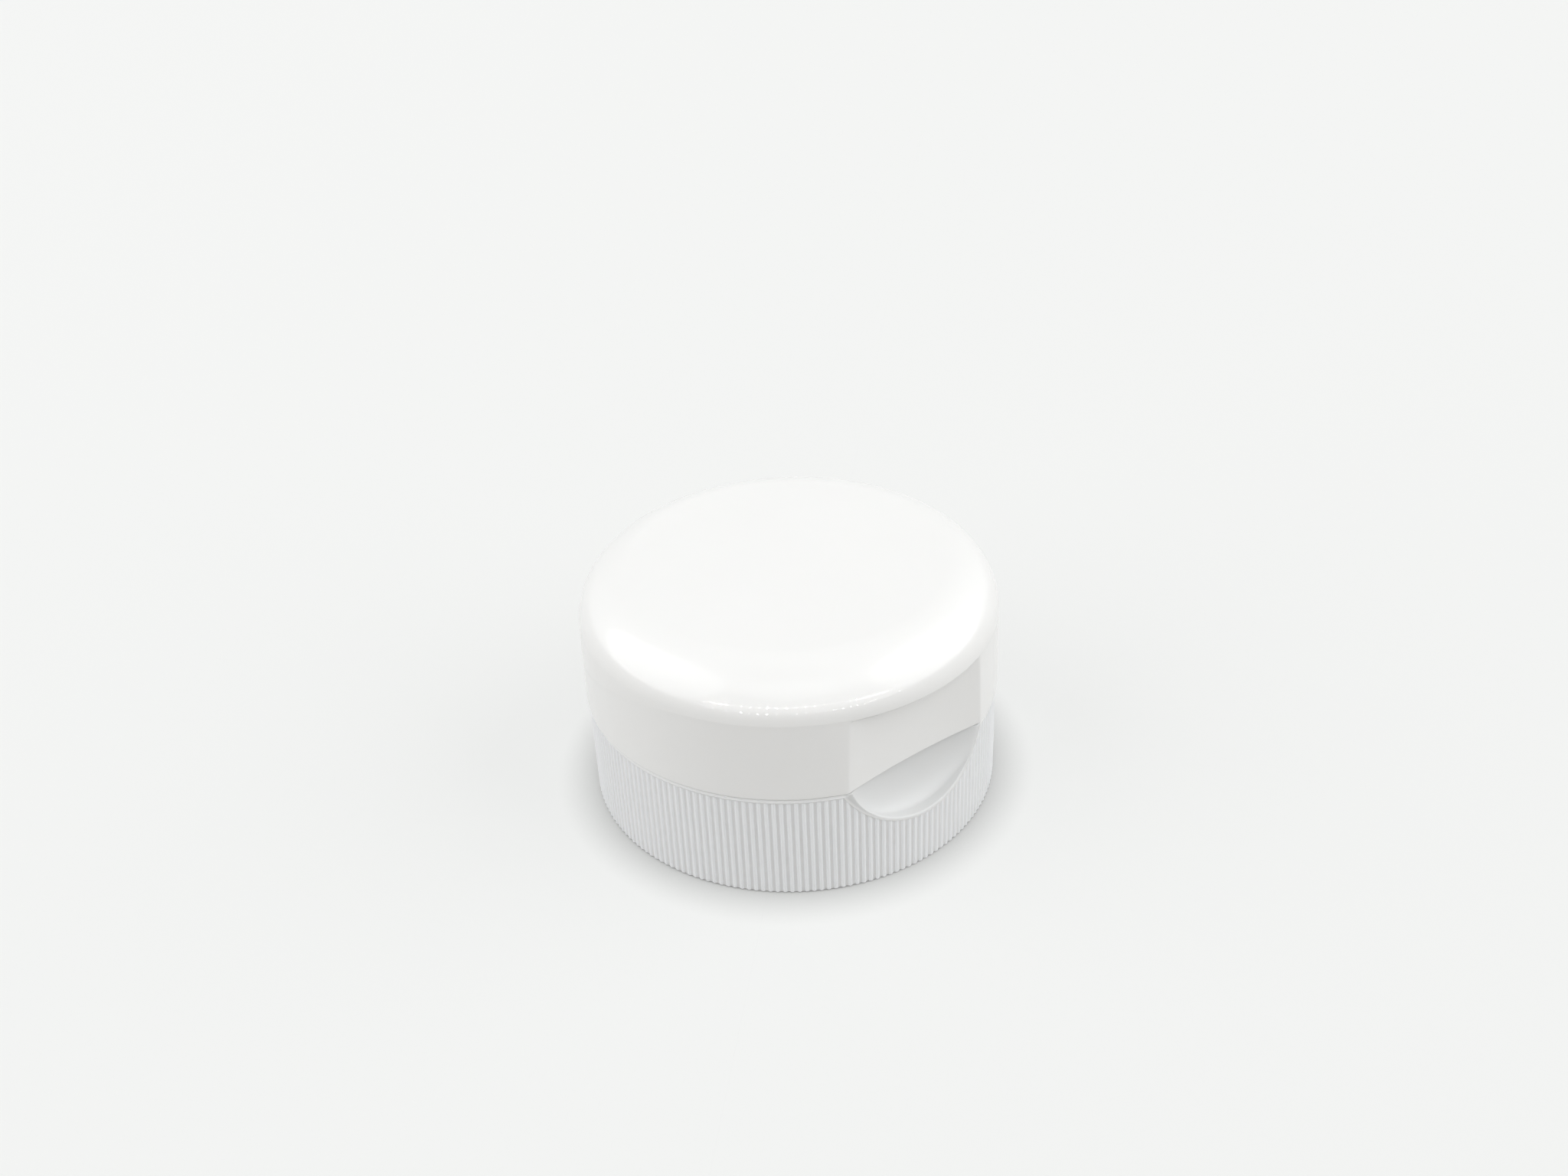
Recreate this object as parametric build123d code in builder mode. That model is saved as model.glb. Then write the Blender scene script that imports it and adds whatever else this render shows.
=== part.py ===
from build123d import *
import os

# Flip top closure moulded in one shot of white polypropylene: a ribbed base that screws on a
# bottle, a lid with a rounded rim, and a snap hinge that joins them at the back.
# Millimetres, +Z up, origin at the centre of the base's bottom rim.
# The thumb recess faces -Y and the hinge stands at +Y.

# Outer form
closure_height = 24.4
base_height = 11.3
parting_gap = 0.12
skirt_draft = 0.1
lid_overhang = 0.15
lid_draft = 0.3
lid_rim_rounding = 5.0

# Grip ribs of the skirt, left standing between straight grooves
rib_count = 188
groove_depth = 0.3
groove_mouth = 0.46
groove_floor = 0.26
plain_band = 0.4
scoop_border = 0.4

# Walls of the two halves
skirt_wall = 1.5
deck_thickness = 1.5
plateau_height = 0.9
plateau_chamfer = 0.3
lid_wall = 1.3
lid_fit_clearance = 0.25

# Threaded neck wall, its stiffeners and the ring that seals inside the bottle's mouth
neck_bore_radius = 13.95
neck_land = 0.55
neck_wall = 1.4
neck_room = 3.95
neck_setback = 0.8
seal_inset = 3.1
seal_wall = 0.9
seal_length = 2.3
seal_thread_gap = 0.2
gusset_count = 8
gusset_thickness = 0.9
gusset_lift = 3.0

# Spout, and the lid's plug that closes it
orifice_radius = 3.2
orifice_land = 1.6
spout_height = 3.0
spout_foot_radius = 6.2
spout_tip_radius = 4.5
spout_rounding = 0.5
funnel_radius = 5.0
plug_clearance = 0.1
plug_engagement = 1.3
plug_tip_taper = 0.25
plug_wall = 0.9

# Thumb recess: a wide shallow hollow in the lid over a round dished scoop in the base
thumb_depth = 2.1
thumb_curve_radius = 80.0
thumb_wall = 1.2
scoop_radius = 9.3
scoop_rise = 4.2
scoop_bulge = 2.2
scoop_start_depth = 0.85
scoop_wall = 1.1

# Snap hinge: two films beside a strap, in a flat window across the parting line
window_depth = 0.7
window_rise = 3.6
film_thickness = 0.35
film_height = 1.2
film_width = 2.4
film_spacing = 6.2
strap_thickness = 0.45
strap_width = 2.2
strap_height = 4.6
hinge_standoff = 0.08
hinge_land = 0.9
wall_bite = 0.4

# Places worked out from the sizes above, outwards from the bottle's neck
neck_outer_radius = neck_bore_radius + neck_wall
neck_land_radius = neck_bore_radius - neck_land
seal_radius = neck_bore_radius - seal_inset
skirt_inner_radius = neck_outer_radius + neck_room
skirt_top_radius = skirt_inner_radius + skirt_wall
skirt_bottom_radius = skirt_top_radius + skirt_draft
lid_bottom_radius = skirt_top_radius + lid_overhang
lid_corner_radius = lid_bottom_radius - lid_draft
lid_bottom = base_height + parting_gap
rim_start = closure_height - lid_rim_rounding
plateau_top = base_height + plateau_height
deck_underside = plateau_top - deck_thickness
spout_top = plateau_top + spout_height
lid_inner_radius = lid_bottom_radius - lid_wall
plateau_radius = lid_inner_radius - lid_fit_clearance
neck_wall_top = deck_underside - seal_length - seal_thread_gap
plug_radius = orifice_radius - plug_clearance
plug_tip = spout_top - plug_engagement
thumb_centre_y = -(lid_bottom_radius - thumb_depth) - thumb_curve_radius
scoop_mouth_y = -(skirt_top_radius - scoop_start_depth)
scoop_centre_z = base_height + scoop_rise
window_y = skirt_bottom_radius - window_depth
hinge_z = base_height + parting_gap / 2
film_in = window_y + hinge_standoff
film_out = film_in + film_thickness
film_low = hinge_z - film_height / 2
film_high = hinge_z + film_height / 2
strap_out = film_in + strap_thickness
strap_low = hinge_z - strap_height / 2
strap_high = hinge_z + strap_height / 2
film_places = (-film_spacing / 2, film_spacing / 2)
reach = 2 * lid_bottom_radius


# Upright bar whose rounded flank is the thumb recess, grown by an offset
def thumb_bar(offset, z_low, z_high):
    with BuildPart() as bar:
        with BuildSketch(Plane.XY.offset(z_low)):
            with Locations((0, thumb_centre_y)):
                Circle(thumb_curve_radius + offset)
            Rectangle(reach, reach, mode=Mode.INTERSECT)
        extrude(amount=z_high - z_low)
    return bar.part


# Round dished tool on a level axis for the scoop, grown by an offset
def scoop_tool(offset):
    with BuildPart() as tool:
        with BuildSketch(Plane.XY.offset(scoop_centre_z)):
            with Locations((0, scoop_mouth_y)):
                Ellipse(scoop_radius + offset, scoop_bulge + offset)
                Rectangle(
                    2 * (scoop_radius + offset), reach, align=(Align.CENTER, Align.MAX)
                )
                Rectangle(reach, 2 * reach, align=(Align.MAX, Align.CENTER), mode=Mode.SUBTRACT)
        revolve(axis=Axis((0, 0, scoop_centre_z), (0, 1, 0)))
        split(bisect_by=Plane.XY.offset(base_height), keep=Keep.BOTTOM)
    return tool.part


# Row of upright blocks along X between two depths and two heights
def block_row(x_places, width, y_in, y_out, z_low, z_high):
    with BuildPart() as row:
        with BuildSketch(Plane.XY.offset(z_low)):
            with Locations([(x, (y_in + y_out) / 2) for x in x_places]):
                Rectangle(width, y_out - y_in)
        extrude(amount=z_high - z_low)
    return row.part


hinge_window = block_row([0], reach, window_y, reach, hinge_z - window_rise, hinge_z + window_rise)

# Grooves between the grip ribs, stopped short of the parting line and of the scoop
with BuildPart() as grooves:
    with BuildSketch(Plane.XY):
        with PolarLocations(skirt_bottom_radius, rib_count):
            Polygon(
                (groove_depth, -groove_mouth / 2),
                (0, -groove_mouth / 2),
                (-groove_depth, -groove_floor / 2),
                (-groove_depth, groove_floor / 2),
                (0, groove_mouth / 2),
                (groove_depth, groove_mouth / 2),
            )
    extrude(amount=base_height - plain_band)
    with BuildSketch(Plane.XZ):
        with Locations((0, scoop_centre_z)):
            Circle(scoop_radius + scoop_border)
    extrude(amount=reach, mode=Mode.SUBTRACT)

# Wall behind the scoop, between the grooves of the skirt and the neck
with BuildPart() as scoop_back:
    add(scoop_tool(scoop_wall))
    with BuildSketch(Plane.XY):
        Circle(skirt_inner_radius + wall_bite)
    extrude(amount=base_height, mode=Mode.INTERSECT)

# Base: ribbed skirt, deck with a raised plateau, spout, neck wall and sealing ring
with BuildPart() as base:
    with BuildSketch(Plane.XZ):
        with BuildLine():
            Polyline(
                (skirt_bottom_radius, 0),
                (skirt_top_radius, base_height),
                (plateau_radius, base_height),
                (plateau_radius, plateau_top - plateau_chamfer),
                (plateau_radius - plateau_chamfer, plateau_top),
                (spout_foot_radius, plateau_top),
                (spout_tip_radius, spout_top),
                (orifice_radius, spout_top),
                (orifice_radius, spout_top - orifice_land),
                (funnel_radius, deck_underside),
                (seal_radius - seal_wall, deck_underside),
                (seal_radius - seal_wall, deck_underside - seal_length),
                (seal_radius, deck_underside - seal_length),
                (seal_radius, deck_underside),
                (neck_land_radius, deck_underside),
                (neck_land_radius, neck_wall_top),
                (neck_bore_radius, neck_wall_top),
                (neck_bore_radius, neck_setback),
                (neck_outer_radius, neck_setback),
                (neck_outer_radius, deck_underside),
                (skirt_inner_radius, deck_underside),
                (skirt_inner_radius, 0),
                close=True,
            )
        make_face()
    revolve(axis=Axis.Z)
    spout_edges = base.edges().filter_by(GeomType.CIRCLE).group_by(Axis.Z)[-1]
    fillet(spout_edges.sort_by(SortBy.RADIUS)[-1], spout_rounding)
    with BuildSketch(Plane.XY.offset(gusset_lift)):
        with PolarLocations(
            (neck_outer_radius + skirt_inner_radius) / 2, gusset_count, start_angle=180 / gusset_count
        ):
            Rectangle(skirt_inner_radius - neck_outer_radius + 2 * wall_bite, gusset_thickness)
    extrude(amount=deck_underside - gusset_lift + wall_bite)
    add(scoop_back.part)
    add(scoop_tool(0), mode=Mode.SUBTRACT)
    add(thumb_bar(thumb_wall + lid_fit_clearance, base_height, spout_top), mode=Mode.SUBTRACT)
    add(grooves.part, mode=Mode.SUBTRACT)
    add(hinge_window, mode=Mode.SUBTRACT)
    add(block_row(film_places, film_width, window_y - wall_bite, film_out, film_low - hinge_land, film_low))
    add(block_row([0], strap_width, window_y - wall_bite, strap_out, strap_low - hinge_land, strap_low))

# Wall behind the lid's thumb recess, closed over by the rim
with BuildPart() as thumb_back:
    add(thumb_bar(thumb_wall, lid_bottom, rim_start + thumb_wall))
    with BuildSketch(Plane.XY):
        Circle(lid_inner_radius + wall_bite)
    extrude(amount=closure_height, mode=Mode.INTERSECT)

# Lid: drafted shell with a large rounded rim, thumb recess and hollow plug
with BuildPart() as lid:
    with BuildSketch(Plane.XZ):
        with BuildLine():
            Polyline(
                (0, lid_bottom),
                (lid_bottom_radius, lid_bottom),
                (lid_corner_radius, closure_height),
                (0, closure_height),
                close=True,
            )
        make_face()
    revolve(axis=Axis.Z)
    rim_edges = lid.edges().filter_by(GeomType.CIRCLE).sort_by(Axis.Z)
    fillet(rim_edges[-1], lid_rim_rounding)
    offset(amount=-lid_wall, openings=lid.faces().sort_by(Axis.Z)[0])
    add(thumb_back.part)
    add(thumb_bar(0, 0, rim_start), mode=Mode.SUBTRACT)
    with BuildSketch(Plane.XZ):
        with BuildLine():
            Polyline(
                (plug_radius, closure_height - lid_wall + wall_bite),
                (plug_radius, spout_top),
                (plug_radius - plug_tip_taper, plug_tip),
                (plug_radius - plug_wall, plug_tip),
                (plug_radius - plug_wall, closure_height - lid_wall + wall_bite),
                close=True,
            )
        make_face()
    revolve(axis=Axis.Z)
    add(hinge_window, mode=Mode.SUBTRACT)
    add(block_row(film_places, film_width, window_y - wall_bite, film_out, film_high, film_high + hinge_land))
    add(block_row([0], strap_width, window_y - wall_bite, strap_out, strap_high, strap_high + hinge_land))

# Living hinge: the two films and the snap strap between the lands of both halves
with BuildPart() as snap_hinge:
    add(block_row(film_places, film_width, film_in, film_out, film_low, film_high))
    add(block_row([0], strap_width, film_in, strap_out, strap_low, strap_high))

base.part.label = "base"
lid.part.label = "lid"
snap_hinge.part.label = "snap_hinge"

os.makedirs("parts", exist_ok=True)
for piece in (base, lid, snap_hinge):
    export_step(piece.part, f"parts/{piece.part.label}.step")
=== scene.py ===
import bpy
import math
import numpy as np
from mathutils import Euler, Matrix, Vector


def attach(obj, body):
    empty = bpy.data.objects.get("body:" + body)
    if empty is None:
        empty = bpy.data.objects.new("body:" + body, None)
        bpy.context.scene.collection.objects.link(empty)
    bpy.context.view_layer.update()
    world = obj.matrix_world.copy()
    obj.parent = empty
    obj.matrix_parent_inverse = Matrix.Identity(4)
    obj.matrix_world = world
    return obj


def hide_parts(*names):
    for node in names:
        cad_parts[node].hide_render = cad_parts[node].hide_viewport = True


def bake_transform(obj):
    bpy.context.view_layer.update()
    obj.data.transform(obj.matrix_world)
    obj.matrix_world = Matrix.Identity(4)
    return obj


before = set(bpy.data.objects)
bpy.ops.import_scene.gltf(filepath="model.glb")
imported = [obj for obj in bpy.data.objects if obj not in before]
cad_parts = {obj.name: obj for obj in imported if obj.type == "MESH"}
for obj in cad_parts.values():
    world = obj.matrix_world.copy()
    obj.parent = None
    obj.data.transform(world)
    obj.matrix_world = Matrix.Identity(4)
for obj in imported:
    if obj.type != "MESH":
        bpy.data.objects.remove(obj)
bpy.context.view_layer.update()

# Flip top cap in white polypropylene. Sizes are in millimetres, as in the CAD model, and angles
# in degrees, counted from the thumb recess at -Y towards +X. mm turns a size into metres.
mm = 0.001

cap = {
    "height": 24.4,
    "baseTop": 11.3,
    "lidBottom": 11.42,
    "skirtBottomRadius": 20.9,
    "skirtTopRadius": 20.8,
    "lidBottomRadius": 20.95,
    "lidCornerRadius": 20.65,
    "hingeZ": 11.36,
}


def hexColour(text):
    # sRGB hex to the linear colour that a shader wants
    parts = [int(text[i:i + 2], 16) / 255 for i in (1, 3, 5)]
    linear = [p / 12.92 if p <= 0.04045 else ((p + 0.055) / 1.055) ** 2.4 for p in parts]
    return tuple(linear) + (1.0,)


def addNode(tree, kind, inputs=None, **settings):
    # one node, its settings, and its inputs as values or as links from other nodes' outputs
    node = tree.nodes.new(kind)
    for key, value in settings.items():
        setattr(node, key, value)
    for key, value in (inputs or {}).items():
        if isinstance(value, bpy.types.NodeSocket):
            tree.links.new(value, node.inputs[key])
        else:
            node.inputs[key].default_value = value
    return node


def calc(tree, operation, *values):
    # the result of a maths node on numbers or links
    return addNode(tree, "ShaderNodeMath", dict(enumerate(values)), operation=operation).outputs[0]


def calcVector(tree, operation, *values):
    # the same for vectors, where a length comes out as a number
    node = addNode(tree, "ShaderNodeVectorMath", dict(enumerate(values)), operation=operation)
    return node.outputs["Value" if operation == "LENGTH" else "Vector"]


def mixColour(tree, share, first, second):
    inputs = {"Factor": share, 6: first, 7: second}
    return addNode(tree, "ShaderNodeMix", inputs, data_type="RGBA").outputs[2]


def blankMaterial(name):
    material = bpy.data.materials.new(name)
    material.use_nodes = True
    material.node_tree.nodes.clear()
    return material, material.node_tree


def smoothStep(x, low, high):
    t = np.clip((x - low) / (high - low), 0, 1)
    return t * t * (3 - 2 * t)


def softMin(a, b, k):
    # the smaller of two radii, with the edge between them rounded over about k
    h = np.clip(0.5 + 0.5 * (b - a) / k, 0, 1)
    return b + (a - b) * h - k * h * (1 - h)


def makePiece(name, points, faces, material, smooth=True):
    mesh = bpy.data.meshes.new(name)
    mesh.from_pydata([tuple(p) for p in points], [], faces)
    mesh.validate()
    mesh.materials.append(material)
    if smooth:
        mesh.shade_smooth()
    piece = bpy.data.objects.new(name, mesh)
    bpy.context.scene.collection.objects.link(piece)
    return piece


def roundedRows(corners):
    # corners are (radius, height, rounding, steps), each a number or one value for every column.
    # Gives rows of (radius, height), with an arc at each corner and a row close to its ends that
    # keeps the long faces flat. The first and last corners stay sharp.
    count = max(np.size(value) for corner in corners for value in corner[:3])
    spots = [np.stack([np.broadcast_to(np.asarray(value, float), count) for value in corner[:2]])
             for corner in corners]
    rows = [spots[0]]
    for i in range(1, len(corners) - 1):
        here, before, after = spots[i], spots[i - 1], spots[i + 1]
        toBefore, toAfter = before - here, after - here
        lengthBefore = np.maximum(np.hypot(*toBefore), 1e-6)
        lengthAfter = np.maximum(np.hypot(*toAfter), 1e-6)
        toBefore, toAfter = toBefore / lengthBefore, toAfter / lengthAfter
        cosine = np.clip((toBefore * toAfter).sum(0), -0.9999, 0.9999)
        half = np.arccos(cosine) / 2
        room = 0.44 * np.minimum(lengthBefore, lengthAfter)
        cut = np.minimum(np.maximum(corners[i][2] / np.tan(half), 0.02), room)
        guard = np.minimum(cut + 0.05, cut * 0.3 + room * 0.75)
        start, stop, weight = here + toBefore * cut, here + toAfter * cut, np.sin(half)
        rows.append(here + toBefore * guard)
        for s in np.linspace(0, 1, corners[i][3] + 1):
            a, b, c = (1 - s) ** 2, 2 * s * (1 - s) * weight, s * s
            rows.append((a * start + b * here + c * stop) / (a + b + c))
        rows.append(here + toAfter * guard)
    rows.append(spots[-1])
    return rows


def skinRows(rows, columns, closed, lean=None):
    # points and faces of rows of (radius, height) wound round the axis. A row of zero radius is
    # one point. closed joins the last row to the first.
    points, starts, poles = [], [], []
    for row in rows:
        radius = np.broadcast_to(row[0], columns.shape)
        height = np.broadcast_to(row[1], columns.shape)
        turn = np.radians(columns if lean is None else lean(columns, height))
        starts.append(len(points))
        poles.append(float(np.max(radius)) < 1e-6)
        ring = np.stack([radius * np.sin(turn), -radius * np.cos(turn), height], 1) * mm
        points.extend(ring[:1] if poles[-1] else ring)
    faces = []
    count = len(columns)
    for i in range(len(rows) if closed else len(rows) - 1):
        k = (i + 1) % len(rows)
        for j in range(count):
            n = (j + 1) % count
            a = starts[i] if poles[i] else starts[i] + j
            b = starts[k] if poles[k] else starts[k] + j
            c = starts[k] if poles[k] else starts[k] + n
            d = starts[i] if poles[i] else starts[i] + n
            face = [a, b, c, d]
            faces.append(tuple(v for m, v in enumerate(face) if v != face[m - 1]))
    return points, faces


def columnAngles(*spans):
    # spans are (from, to, step) in degrees, between -180 and 180
    angles = np.concatenate([np.arange(a, b - step * 0.3, step) for a, b, step in spans])
    return np.unique(np.round(angles, 4))


def freshTree(name, inputs):
    # a Geometry Nodes tree with named inputs; gives the tree, its input node and the identifiers
    tree = bpy.data.node_groups.new(name, "GeometryNodeTree")
    tree.interface.new_socket("geometry", in_out="INPUT", socket_type="NodeSocketGeometry")
    tree.interface.new_socket("geometry", in_out="OUTPUT", socket_type="NodeSocketGeometry")
    idents = {}
    for key, value in inputs.items():
        kind = "NodeSocketInt" if isinstance(value, int) else "NodeSocketFloat"
        socket = tree.interface.new_socket(key, in_out="INPUT", socket_type=kind)
        idents[key] = socket.identifier
    return tree, tree.nodes.new("NodeGroupInput"), idents


def growPiece(name, seedMesh, tree, idents, values):
    # runs the tree on the seed mesh and keeps the result as a plain mesh
    seed = bpy.data.objects.new(name + "Seed", seedMesh)
    bpy.context.scene.collection.objects.link(seed)
    modifier = seed.modifiers.new("grow", "NODES")
    modifier.node_group = tree
    for key, value in values.items():
        modifier[idents[key]] = value
    bpy.context.view_layer.update()
    graph = bpy.context.evaluated_depsgraph_get()
    mesh = bpy.data.meshes.new_from_object(seed.evaluated_get(graph))
    bpy.data.objects.remove(seed)
    mesh.name = name
    piece = bpy.data.objects.new(name, mesh)
    bpy.context.scene.collection.objects.link(piece)
    return piece


polypropylene = {
    "ior": 1.49, "specular": 0.35, "coatRoughness": 0.03, "polishSpread": 0.02,
    "scatter": (1.0, 0.95, 0.9), "paintedShadeBlur": 0.06, "paintedShadeScoopBlur": 0.2,
}


def paintShadeInside(tree, place, look, shade):
    # the scoop and the other faces inside the ribs' circle are shaded down to match the photo
    # painted shade: a darker colour on these faces stands in for the shade in the scoop and inside
    # the skirt
    edge, blur = look["paintedShadeRadius"] * mm, polypropylene["paintedShadeBlur"] * mm
    radius = calcVector(tree, "LENGTH", calcVector(tree, "MULTIPLY", place, (1, 1, 0)))
    outside = addNode(tree, "ShaderNodeMapRange", {
        "Value": radius, "From Min": edge - blur, "From Max": edge + blur}).outputs["Result"]
    # the ledge round the scoop reaches further out, so the scoop's own circle is added in front
    away = calcVector(tree, "SUBTRACT", place, (0, 0, look["scoopZ"] * mm))
    spread = calcVector(tree, "LENGTH", calcVector(tree, "MULTIPLY", away, (1, 0, 1)))
    beyond = addNode(tree, "ShaderNodeMapRange", {
        "Value": spread, "From Min": look["scoopRadius"] * mm,
        "From Max": (look["scoopRadius"] + polypropylene["paintedShadeScoopBlur"]) * mm}).outputs["Result"]
    depth = addNode(tree, "ShaderNodeSeparateXYZ", {0: place}).outputs["Y"]
    kept = calc(tree, "MAXIMUM", beyond, calc(tree, "GREATER_THAN", depth, 0.0))
    outside = calc(tree, "MINIMUM", outside, kept)
    return mixColour(tree, outside, hexColour(look["paintedShade"]), shade)


def mouldedPlastic(name, look):
    # Injection moulded polypropylene: white pigment, a soft waxy gloss and a little depth under
    # the skin. The mould's polish gives a very fine ripple, and slow shrinkage a broad one.
    material, tree = blankMaterial(name)
    place = addNode(tree, "ShaderNodeTexCoord").outputs["Object"]
    cloud = addNode(tree, "ShaderNodeTexNoise", {
        "Vector": place, "Scale": 1 / (look["cloudSize"] * mm), "Detail": 2.0, "Roughness": 0.5})
    shade = mixColour(
        tree, cloud.outputs["Fac"], hexColour(look["colour"]), hexColour(look["paler"]))
    # painted shade, where the look gives one
    if "paintedShade" in look:
        shade = paintShadeInside(tree, place, look, shade)
    ripple = addNode(tree, "ShaderNodeTexNoise", {
        "Vector": place, "Scale": 1 / (look["rippleSize"] * mm), "Detail": 3.0, "Roughness": 0.55})
    grit = addNode(tree, "ShaderNodeTexNoise", {
        "Vector": place, "Scale": 1 / (look["gritSize"] * mm), "Detail": 1.0})
    polish = addNode(tree, "ShaderNodeMapRange", {
        "Value": ripple.outputs["Fac"], "From Min": 0.3, "From Max": 0.7,
        "To Min": look["roughness"] - polypropylene["polishSpread"],
        "To Max": look["roughness"] + polypropylene["polishSpread"]})
    broad = addNode(tree, "ShaderNodeBump", {
        "Height": ripple.outputs["Fac"], "Strength": 1.0, "Distance": look["rippleHeight"] * mm})
    fine = addNode(tree, "ShaderNodeBump", {
        "Height": grit.outputs["Fac"], "Strength": 1.0, "Distance": look["gritHeight"] * mm,
        "Normal": broad.outputs["Normal"]})
    shader = addNode(tree, "ShaderNodeBsdfPrincipled", {
        "Base Color": shade, "Roughness": polish.outputs["Result"],
        "Normal": fine.outputs["Normal"],
        "IOR": polypropylene["ior"], "Specular IOR Level": polypropylene["specular"],
        "Coat Weight": look["coat"], "Coat Roughness": polypropylene["coatRoughness"],
        "Coat IOR": polypropylene["ior"], "Subsurface Weight": look["depth"],
        "Subsurface Radius": polypropylene["scatter"], "Subsurface Scale": look["depthSize"] * mm})
    addNode(tree, "ShaderNodeOutputMaterial", {"Surface": shader.outputs["BSDF"]})
    return material


# the lid's polished cavity, the base's satin one with painted shade inside the ribs' circle, its
# ribs in a paler copy that is painted light, and the thin flexed hinge
lidFinish = {
    "colour": "#F6F6F5", "paler": "#F9F9F8", "roughness": 0.32, "coat": 0.7,
    "depth": 0.12, "depthSize": 0.8, "cloudSize": 9.0,
    "rippleSize": 2.6, "rippleHeight": 0.006, "gritSize": 0.22, "gritHeight": 0.0006,
}
baseFinish = {
    "colour": "#F3F4F4", "paler": "#F7F7F7", "roughness": 0.42, "coat": 0.0,
    # painted shade: the darker colour of the scoop and of the faces inside the ribs' circle
    "paintedShade": "#DFE0E0", "paintedShadeRadius": 20.6, "scoopZ": 15.5, "scoopRadius": 9.38,
    "depth": 0.4, "depthSize": 0.8, "cloudSize": 7.0,
    "rippleSize": 1.8, "rippleHeight": 0.004, "gritSize": 0.16, "gritHeight": 0.0012,
}
# painted light: the ribs, gussets and thread share a paler copy of the base's plastic, which lifts
# the ribs against their own shade
paintedLightRibFinish = {
    "colour": "#F9FBFD", "paler": "#FBFCFE", "roughness": 0.42, "coat": 0.0,
    "depth": 0.0, "depthSize": 0.6, "cloudSize": 7.0,
    "rippleSize": 1.8, "rippleHeight": 0.004, "gritSize": 0.16, "gritHeight": 0.0012,
}
hingeFinish = {
    "colour": "#F3F4F4", "paler": "#FAFAFA", "roughness": 0.42, "coat": 0.0,
    "depth": 0.30, "depthSize": 0.5, "cloudSize": 0.8,
    "rippleSize": 0.5, "rippleHeight": 0.004, "gritSize": 0.1, "gritHeight": 0.0015,
}
lidPlastic = mouldedPlastic("polishedPolypropylene", lidFinish)
basePlastic = mouldedPlastic("satinPolypropylenePaintedShade", baseFinish)
paintedLightRibPlastic = mouldedPlastic("satinRibPolypropylenePaintedLight", paintedLightRibFinish)
hingePlastic = mouldedPlastic("flexedPolypropylene", hingeFinish)
print("materials ready")


# the thumb recess, the scoop and the hinge window, which lid and base share
thumb = {
    "curveRadius": 80.0,
    "centreY": 98.85,
    "ceiling": 19.4,
    "edgeRounding": 0.1,
    "scoopRadius": 9.3,
    "scoopBulge": 2.2,
    "scoopMouth": 19.95,
    "scoopZ": 15.5,
    "windowY": 20.2,
    "windowLow": 7.76,
    "windowHigh": 14.96,
    "settleSteps": 14,
}


def thumbRadius(angle, offset=0.0):
    # where the hollow flank of the thumb recess crosses a direction, grown inwards by offset
    turn = np.radians(angle)
    inside = (thumb["curveRadius"] + offset) ** 2 - (thumb["centreY"] * np.sin(turn)) ** 2
    near = np.abs(angle) < 45
    reach = thumb["centreY"] * np.cos(turn) - np.sqrt(np.where(near, np.maximum(inside, 1), 1))
    return np.where(near, reach, 99.0)


def windowRadius(angle):
    # the flat face of the hinge window at the back
    turn = np.radians(angle)
    back = np.abs(angle) > 135
    return np.where(back, thumb["windowY"] / np.maximum(-np.cos(turn), 0.5), 99.0)


def scoopRadiusAt(angle, height, grow=0.0):
    # the dished face of the scoop: half an oval dome whose mouth stands just inside the skirt
    turn = np.radians(angle)
    across, deep = thumb["scoopRadius"] + grow, thumb["scoopBulge"] + grow
    radius = np.full(np.broadcast(angle, height).shape, thumb["scoopMouth"])
    for _ in range(thumb["settleSteps"]):
        away = ((radius * np.sin(turn)) ** 2 + (height - thumb["scoopZ"]) ** 2) / across ** 2
        face = thumb["scoopMouth"] - deep * np.sqrt(np.clip(1 - away, 0, 1))
        radius = 0.5 * radius + 0.5 * face / np.maximum(np.cos(turn), 0.3)
    away = ((radius * np.sin(turn)) ** 2 + (height - thumb["scoopZ"]) ** 2) / across ** 2
    return np.where((np.abs(angle) < 45) & (away < 1), radius, 99.0)


lidSizes = {
    "rimRounding": 5.0,
    "wall": 1.3,
    "thumbWall": 1.2,
    "bottomRounding": 0.14,
    "innerRounding": 3.7,
    "ceilingRounding": 0.16,
    "plugRadius": 3.1,
    "plugWall": 0.9,
    "plugTip": 13.9,
    "plugTaper": 0.25,
    "beadHeight": 0.14,
    "beadLift": 0.75,
    "beadHalf": 0.3,
    "innerBlend": 0.5,
    "rimSteps": 25,
}


def lidWallRadius(height):
    share = (height - cap["lidBottom"]) / (cap["height"] - cap["lidBottom"])
    return cap["lidBottomRadius"] + (cap["lidCornerRadius"] - cap["lidBottomRadius"]) * share


def recessEdge(height):
    # half angle at which the recess runs out into the wall, which leans with the draft
    wall = lidWallRadius(np.clip(height, cap["lidBottom"], thumb["ceiling"]))
    centre, curve = thumb["centreY"], thumb["curveRadius"]
    cosine = (wall ** 2 + centre ** 2 - curve ** 2) / (2 * wall * centre)
    return np.degrees(np.arccos(cosine))


def leanWithRecess(angle, height):
    # columns follow the leaning edges of the recess, so those edges stay crisp
    edge, start, rest = recessEdge(height), recessEdge(np.array(cap["lidBottom"])), 40.0
    size = np.abs(angle)
    inside = size * edge / start
    outside = edge + (size - start) * (rest - edge) / (rest - start)
    return np.sign(angle) * np.where(size < start, inside, np.where(size < rest, outside, size))


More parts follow.
